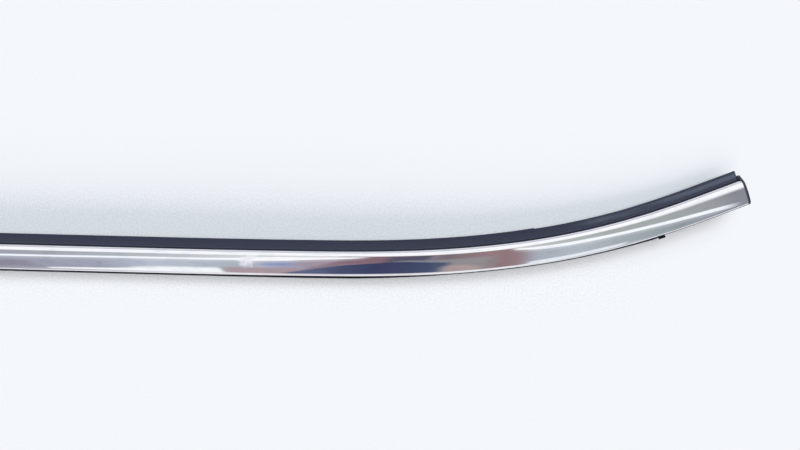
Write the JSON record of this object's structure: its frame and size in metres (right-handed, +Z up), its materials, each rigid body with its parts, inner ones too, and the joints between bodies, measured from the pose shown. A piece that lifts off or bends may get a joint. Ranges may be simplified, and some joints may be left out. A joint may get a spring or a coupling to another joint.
{
  "type": "window moulding",
  "caption": "Rear-door window moulding: a bright roll-formed strip on a black sealing extrusion with lips, closed by end caps, straight and then kicked up at one end.",
  "frame": {"origin": "middle of the footprint's box, on the surface that the moulding lies on, under the tips of the two glass lips", "axes": "+X along the straight run towards the kicked end, +Y across it towards the upper lip and the window glass, +Z up, out of the bright face"},
  "size_m": [0.8996, 0.073, 0.0163],
  "materials": {
    "bright_steel": "polished",
    "black_rubber": "satin",
    "cap_plastic": "satin",
    "block_rubber": "matte"
  },
  "bodies": {
    "root": {"bright_trim": "bright_steel", "seal_extrusion": "black_rubber", "end_cap_kicked": "cap_plastic", "end_cap_square": "cap_plastic", "lip_end_block": "block_rubber"}
  },
  "joints": []
}
